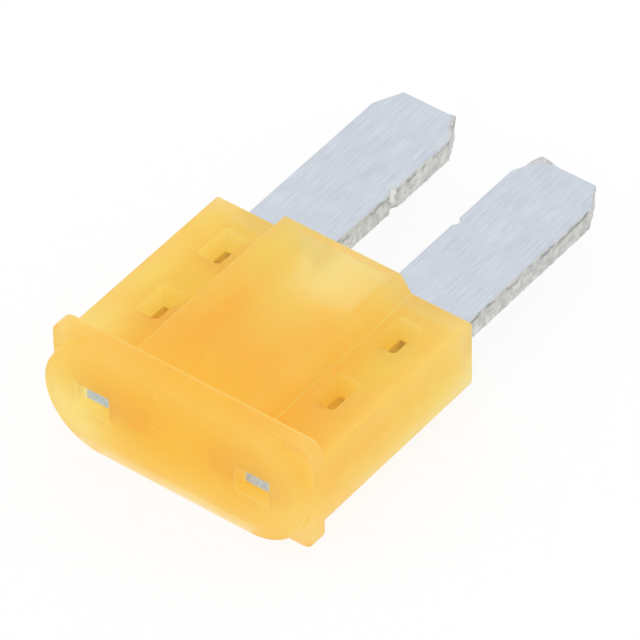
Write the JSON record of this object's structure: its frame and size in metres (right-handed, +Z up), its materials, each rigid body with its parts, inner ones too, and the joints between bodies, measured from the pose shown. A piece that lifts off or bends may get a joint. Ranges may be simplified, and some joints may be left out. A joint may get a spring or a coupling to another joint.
{
  "type": "automotive blade fuse",
  "caption": "Two-blade micro vehicle fuse: oblong-headed translucent amber housing staked onto a one-piece stamped metal element with flat plug-in blades.",
  "frame": {"origin": "under the middle of the fuse's bounding box, on the surface that it lies on", "axes": "+Y from the head towards the blade tips, +X across the two blades, +Z up through the fuse's thickness"},
  "size_m": [0.0092, 0.0154, 0.0038],
  "materials": {
    "housing_plastic": "moulded translucent amber nylon, semi-gloss",
    "element_metal": "silver-plated zinc alloy strip, rolled faces with fine lengthwise lines and grey sheared edges"
  },
  "bodies": {
    "root": {"housing": "housing_plastic", "fuse_element": "element_metal"}
  },
  "joints": []
}
